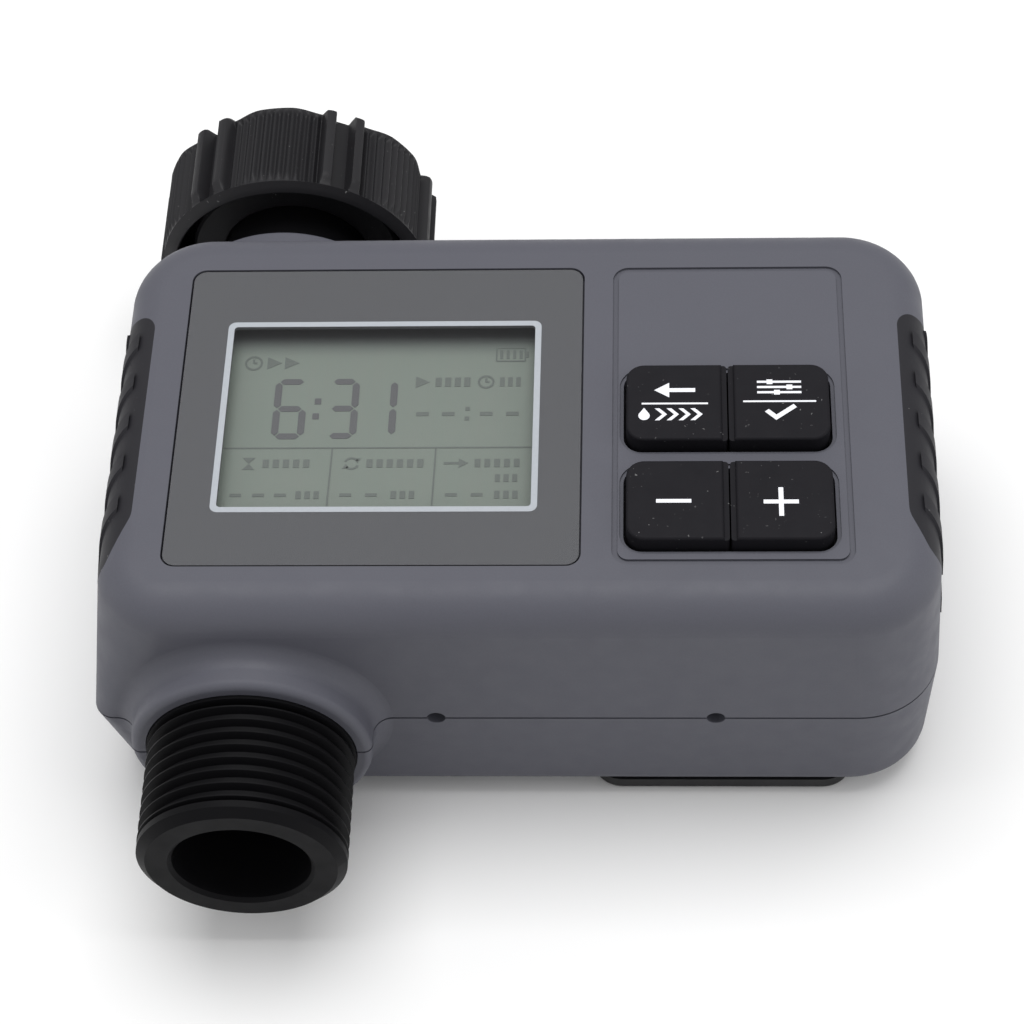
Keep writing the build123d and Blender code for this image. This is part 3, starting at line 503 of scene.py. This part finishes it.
def digit(symbol, left, right, low, high, slant=0.05, width=0.92, gap=0.14):
    """Seven-segment strokes of one digit; the shape leans right by slant at its top."""
    middle = (low + high) / 2
    segments = {
        "a": ((left, high), (right, high)), "b": ((right, high), (right, middle)),
        "c": ((right, middle), (right, low)), "d": ((left, low), (right, low)),
        "e": ((left, middle), (left, low)), "f": ((left, high), (left, middle)),
        "g": ((left, middle), (right, middle)),
    }
    lit = {"1": "bc", "3": "abcdg", "6": "acdefg"}[symbol]
    half = width / 2
    outlines = []
    for letter in lit:
        (x0, y0), (x1, y1) = segments[letter]
        if y0 == y1:
            x0, x1 = x0 + gap, x1 - gap
            points = [(x0, y0), (x0 + half, y0 + half), (x1 - half, y0 + half),
                      (x1, y0), (x1 - half, y0 - half), (x0 + half, y0 - half)]
        else:
            y0, y1 = y0 - gap, y1 + gap
            points = [(x0, y0), (x0 + half, y0 - half), (x0 + half, y1 + half),
                      (x0, y1), (x0 - half, y1 + half), (x0 - half, y0 - half)]
        outlines.append([(x + slant * (y - low) / (high - low), y) for x, y in points])
    return outlines


def box_outline(x, y, width, height):
    w, h = width / 2, height / 2
    return [(x - w, y - h), (x + w, y - h), (x + w, y + h), (x - w, y + h)]


def row(x, y, width, height, pitch, count):
    """Equal boxes side by side."""
    return [box_outline(x + i * pitch, y, width, height) for i in range(count)]


def frame_bars(x0, x1, y0, y1, width):
    sides = ((x0, y0, x1, y0), (x0, y1, x1, y1), (x0, y0, x0, y1), (x1, y0, x1, y1))
    return [bar(*side, width) for side in sides]


def clock_icon(x, y, radius, width=0.3):
    hands = [bar(x, y, x, y + radius * 0.62, width), bar(x, y, x + radius * 0.45, y, width)]
    return arc_band(x, y, radius, width, 0, 360, 24) + hands


def play_icon(x, y, size):
    return [[(x - size * 0.45, y - size * 0.5), (x + size * 0.5, y), (x - size * 0.45, y + size * 0.5)]]


def chevrons(x, y, size, count, pitch, width):
    found = []
    for i in range(count):
        tip, half = x + i * pitch, size / 2
        found.append([(tip, y), (tip - half, y + half), (tip - half - width, y + half), (tip - width, y),
                      (tip - half - width, y - half), (tip - half, y - half)])
    return found


def arrow(x0, x1, y, head, width):
    step = head if x1 > x0 else -head
    tip = [(x1, y), (x1 - step, y + head * 0.62), (x1 - step, y - head * 0.62)]
    return [bar(x0, y, x1 - step * 0.95, y, width), tip]


def hourglass(x, y, w, h):
    return [[(x - w, y + h), (x, y), (x + w, y + h)], [(x - w, y - h), (x + w, y - h), (x, y)]]


def cycle_icon(x, y, radius, width):
    found = arc_band(x, y, radius, width, 30, 130, 10) + arc_band(x, y, radius, width, 210, 130, 10)
    for side in (1, -1):
        tip_x, tip_y = x + side * radius * 0.87, y + side * radius * 0.1
        found.append([(tip_x, tip_y), (tip_x - side * 0.55, tip_y + side * 0.7),
                      (tip_x + side * 0.45, tip_y + side * 0.75)])
    return found


lcd_z = cad_top("lcd_panel") + 0.02
digits = digit("6", -31.05, -27.7, -4.2, 4.75) + digit("3", -24.05, -20.95, -4.15, 4.75)
digits += digit("1", -19.5, -15.95, -4.05, 4.75)
digits += [box_outline(-25.75, 1.5, 0.85, 0.95), box_outline(-25.9, -0.95, 0.85, 0.95)]
dashes = [box_outline(x, -0.65, 1.65, 0.62) for x in (-12.07, -8.74, -3.83, -0.45)]
dashes += [box_outline(-6.25, 0.2, 0.6, 0.6), box_outline(-6.32, -1.4, 0.6, 0.6)]
dashes += [box_outline(x, -13.6, 1.5, 0.5) for x in (-35.3, -32.4, -29.6, -21.3, -18.05, -7.9, -4.65)]
join_prisms("lcd_digits", strokes(digits, lcd_z), segment_ink, "housing")
join_prisms("lcd_dashes", strokes(dashes, lcd_z), faint_ink, "housing")

RULE = 0.22
marks = [bar(-37.4, -6.1, 2.2, -6.1, RULE), bar(-23.4, -6.3, -23.6, -16.6, RULE)]
marks += [bar(-10.1, -6.3, -10.3, -16.6, RULE)]
marks += frame_bars(-2.75, 1.0, 8.05, 10.25, RULE) + [box_outline(1.3, 9.15, 0.35, 1.0)]
marks += row(-2.1, 9.15, 0.42, 1.45, 0.85, 4)
marks += clock_icon(-34.6, 7.9, 1.05) + play_icon(-31.9, 7.9, 2.0) + play_icon(-29.6, 7.9, 2.0)
marks += play_icon(-12.3, 4.6, 1.9) + row(-10.2, 4.6, 0.8, 1.5, 1.25, 4)
marks += clock_icon(-4.0, 4.6, 0.95) + row(-1.9, 4.6, 0.62, 1.5, 1.05, 3)
marks += hourglass(-34.0, -8.6, 0.8, 0.95) + row(-31.8, -8.6, 0.8, 1.3, 1.3, 5)
marks += cycle_icon(-20.8, -8.6, 0.85, 0.3) + row(-18.5, -8.6, 0.8, 1.3, 1.3, 6)
marks += arrow(-9.0, -5.9, -8.6, 1.2, 0.35) + row(-4.7, -8.6, 0.75, 1.3, 1.25, 5)
marks += row(-2.1, -11.0, 0.65, 1.2, 1.1, 3)
for start in (-27.3, -15.2, -2.1):
    marks += row(start, -13.6, 0.7, 1.2, 1.15, 3)
join_prisms("lcd_marks", strokes(marks, lcd_z), faint_ink, "housing")

low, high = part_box("display_window")
plate = (low.x / MM, high.x / MM, low.y / MM, high.y / MM)
plate_top = high.z / MM
PLATE_CORNER, LINE_CORNER, HOLE_CORNER = 1.7, 1.0, 0.5
LINE_WIDTH, LINE_THICK = 0.8, 0.02
FILM_THICK = 0.5
line_rect = (-37.95, 3.15, -18.15, 12.7)
film_top = plate_top - 0.10


def shrunk(rect, by):
    x0, x1, y0, y1 = rect
    return (x0 + by, x1 - by, y0 + by, y1 - by)


def in_metres(points):
    return [(x * MM, y * MM) for x, y in points]


def plate_ring(outer, outer_corner, inner, inner_corner, z0, z1):
    return prism(in_metres(rounded_rect(*outer, outer_corner)), z0 * MM, z1 * MM,
                 [in_metres(rounded_rect(*inner, inner_corner))])


hole = shrunk(line_rect, LINE_WIDTH)
border_ring = plate_ring(plate, PLATE_CORNER, hole, HOLE_CORNER, film_top - FILM_THICK, film_top)
border = join_prisms("window_border", [border_ring], border_print, "housing")
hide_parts("window_mask")
line_ring = plate_ring(line_rect, LINE_CORNER, hole, HOLE_CORNER, film_top, film_top + LINE_THICK)
join_prisms("window_line", [line_ring], line_ink, "housing")


def build_pane():
    """The clear plate over the print, with a small chamfer round its face."""
    levels = ((0.0, film_top + 0.04), (0.0, plate_top - 0.03), (0.05, plate_top))
    loops = [rounded_rect(*shrunk(plate, inset), PLATE_CORNER - inset) for inset, _ in levels]
    count = len(loops[0])
    verts = [(x * MM, y * MM, z * MM) for loop, (_, z) in zip(loops, levels) for x, y in loop]
    faces = [tuple(reversed(range(count))), tuple(range(2 * count, 3 * count))]
    for under, over in ((0, count), (count, 2 * count)):
        for i in range(count):
            j = (i + 1) % count
            faces.append((under + i, under + j, over + j, over + i))
    pane = new_piece("window_pane", verts, faces, clear_window, "housing")
    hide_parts("display_window")


build_pane()


# ------------------------------------------------------------------ key legends
def legend(name, key, outlines, shift):
    z = cad_top(key) + 0.004
    moved = [[(x + shift[0], y + shift[1]) for x, y in outline] for outline in outlines]
    join_prisms(name, strokes(moved, z, 0.02), white_ink, key + "_group")


DROP_X, DROP_R = -3.9, 0.72
drop = [(DROP_X, 1.15)]
for eighth in range(6, -7, -1):
    turned = eighth * math.pi / 8
    drop.append((DROP_X + DROP_R * math.sin(turned), -0.1 - DROP_R * math.cos(turned)))
legend("key_back_legend", "key_back",
       arrow(2.6, -2.6, 4.0, 1.9, 0.62) + [bar(-4.2, 1.83, 4.2, 1.83, 0.26)]
       + chevrons(-1.0, 0.1, 1.9, 4, 1.5, 0.6) + [drop], (20.4, -4.66))
sliders = [bar(-2.8, y, 2.8, y, 0.34) for y in (4.9, 4.05, 3.2)]
sliders += [box_outline(x, y, 0.75, 0.75) for x, y in ((-1.2, 4.9), (1.3, 4.05), (-0.3, 3.2))]
tick = [[(-1.9, 0.1), (-1.4, 0.5), (-0.45, -0.4), (1.75, 1.3), (2.15, 0.8), (-0.5, -1.25)]]
legend("key_set_legend", "key_set", sliders + [bar(-4.6, 1.75, 4.6, 1.75, 0.26)] + tick, (33.65, -4.28))
legend("key_minus_legend", "key_minus", [bar(-2.18, 0, 2.18, 0, 0.55)], (20.15, -18.13))
plus = [bar(-2.17, 0, 2.17, 0, 0.6), bar(0, -2.18, 0, 2.18, 0.6)]
legend("key_plus_legend", "key_plus", plus, (33.4, -18.28))


# ------------------------------------------------------------------ side grips
HALF_WIDTH, HALF_DEPTH, BODY_Y = 54.4, 31.69, -2.135
PARTING_Z, FRONT_Z, TOP_ROUND = 19.7, 43.14, 5.1
CORNER, BOSS_CORNER = 10.7, 2.6
LEAN = {-1: 3.1, 1: 1.35}
RIB_SHARE = 0.6


def above_casing(x, y, z):
    """Height of a point over the casing's outside, in mm, and the direction away from it."""
    side = 1 if x > 0 else -1
    level = min(z, FRONT_Z - TOP_ROUND)
    share = (level - PARTING_Z) / (FRONT_Z - PARTING_Z)
    corner = CORNER
    if side < 0 and y < BODY_Y:
        corner = BOSS_CORNER + (CORNER - BOSS_CORNER) * share
    dx = abs(x) - (HALF_WIDTH - LEAN[side] * share - corner)
    dy = abs(y - BODY_Y) - (HALF_DEPTH - corner)
    if dx > 0 and dy > 0:
        reach = math.hypot(dx, dy)
        away = Vector((side * dx / reach, math.copysign(dy / reach, y - BODY_Y), 0))
    else:
        reach = max(dx, dy)
        away = Vector((side, 0, 0)) if dx > dy else Vector((0, math.copysign(1, y - BODY_Y), 0))
    out = reach - corner
    if z <= FRONT_Z - TOP_ROUND:
        return out, away
    rise = z - (FRONT_Z - TOP_ROUND)
    across = max(0.0, out + TOP_ROUND)
    turn = math.hypot(across, rise)
    return turn - TOP_ROUND, (away * across + Vector((0, 0, rise))) / turn


def build_grip(node, name):
    """The rubber inlay with its hooked ribs kept low over the casing's surface."""
    bm = bmesh.new()
    bm.from_mesh(nodes[node].data)
    bmesh.ops.remove_doubles(bm, verts=bm.verts, dist=1e-6)
    verts = []
    for vert in bm.verts:
        point = Vector(vert.co) / MM
        height, away = above_casing(*point)
        if height > 0.02:
            point -= away * height * (1 - RIB_SHARE)
        verts.append(point * MM)
    faces = [tuple(v.index for v in face.verts) for face in bm.faces]
    bm.free()
    grip = new_piece(name, verts, faces, grip_rubber, "housing", smooth_angle=28)
    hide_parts(node)


build_grip("left_grip", "left_grip_rubber")
build_grip("right_grip", "right_grip_rubber")


# ------------------------------------------------------------------ swivel nut
def smoothstep(value):
    value = min(1.0, max(0.0, value))
    return value * value * (3 - 2 * value)


nut_low, nut_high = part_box("inlet_nut")
nut_y0, nut_y1 = nut_low.y / MM, nut_high.y / MM
nut_r = (nut_high.z - nut_low.z) / 2 / MM
NEAR_END, FAR_END = nut_y0 - 0.9, nut_y1 + 0.25
SECTOR = 60.0
FIRST_RECESS = 24.4
RECESS_HALF = 3.4
RIB_HALF = 2.8
RIDGES = 11
NUT_COLUMNS = 1080
THREAD_START, THREAD_PITCH, THREAD_TURNS = 4.9, 1.814, 4


def nut_radius(angle, y):
    """Outside radius of the nut, in mm: ridged pads between narrow recesses, inside a plain rim."""
    away = abs((angle - FIRST_RECESS + SECTOR / 2) % SECTOR - SECTOR / 2)
    near, far = y - NEAR_END, FAR_END - y
    rim, floor = nut_r - 0.75, nut_r - 2.05
    pad_half = SECTOR / 2 - RECESS_HALF - 2 * RIB_HALF
    if away < RECESS_HALF + 0.9:
        wall = smoothstep((away - RECESS_HALF) / 0.9)
        body = floor * (1 - wall) + nut_r * wall
    elif away < RECESS_HALF + 2 * RIB_HALF - 0.9:
        across = (away - RECESS_HALF - RIB_HALF) / RIB_HALF
        body = nut_r - 0.2 * across * across
    else:
        from_centre = SECTOR / 2 - away
        phase = from_centre / (2 * pad_half) * (RIDGES + 0.5) * 2 * math.pi
        swell = nut_r - 0.35 - 0.9 * smoothstep((from_centre / pad_half - 0.3) / 0.7)
        groove = 0.55 * (0.5 - 0.5 * math.cos(phase)) ** 0.8 * smoothstep((far - 0.5) / 0.9)
        edge = smoothstep((away - (RECESS_HALF + 2 * RIB_HALF - 0.9)) / 1.8)
        body = (swell - groove) * edge + (nut_r - 0.2) * (1 - edge)
    rise = 1.8 if body > rim else 0.45
    outside = rim + (body - rim) * smoothstep((near - 0.8) / rise)
    chamfer = 1.5 * max(0.0, 1 - near / 0.8)
    round_far = 0.5 * (1 - smoothstep(far / 0.6)) ** 2
    return outside - chamfer - round_far


def nut_profile():
    """Rings of the nut, each a place along Y and its radii, up the outside and back down the bore."""
    rows = [0.0, 0.4, 0.8, 0.9, 1.0, 1.1, 1.2, 1.3, 1.5, 1.8, 2.1, 2.4, 2.7, 3.4]
    rows += [4.6, 6.0, 7.5, 9.0, 10.5, 12.0]
    rows += [FAR_END - NEAR_END - back for back in (1.6, 1.3, 1.1, 0.9, 0.7, 0.55, 0.4, 0.25, 0.1, 0.0)]
    inside = [(17.35, -0.9), (17.1, -0.6), (17.0, 9.6), (14.9, 9.6), (14.9, 3.2), (14.5, 2.8), (10.6, 2.8),
              (10.35, 3.0), (10.35, 4.1), (12.9, 4.1), (12.9, 4.6)]
    for turn in range(THREAD_TURNS):
        at = THREAD_START + turn * THREAD_PITCH
        inside += [(13.2, at), (13.2, at + 0.35), (12.15, at + 0.8), (12.15, at + 1.0), (13.2, at + 1.45)]
    depth = nut_y1 - nut_y0
    inside += [(13.2, depth - 1.9), (13.38, depth - 1.9), (13.38, depth - 0.25), (13.7, depth + 0.25)]
    rings = []
    for y in (NEAR_END + row for row in rows):
        rings.append((y, [nut_radius(360 * column / NUT_COLUMNS, y) for column in range(NUT_COLUMNS)]))
    for radius, back in reversed(inside):
        rings.append((nut_y0 + back, [radius] * NUT_COLUMNS))
    return rings


def build_nut():
    rings = nut_profile()
    verts, faces = [], []
    for y, radii in rings:
        for column, radius in enumerate(radii):
            angle = math.radians(360 * column / NUT_COLUMNS)
            x, z = radius * math.sin(angle), radius * math.cos(angle)
            verts.append(((axis_x / MM + x) * MM, y * MM, (axis_z / MM + z) * MM))
    for i in range(len(rings)):
        here, there = i * NUT_COLUMNS, (i + 1) % len(rings) * NUT_COLUMNS
        for column in range(NUT_COLUMNS):
            after = (column + 1) % NUT_COLUMNS
            faces.append((here + column, here + after, there + after, there + column))
    nut = new_piece("swivel_nut", verts, faces, nut_plastic, "tap_nut", smooth_angle=32)
    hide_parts("inlet_nut")


build_nut()
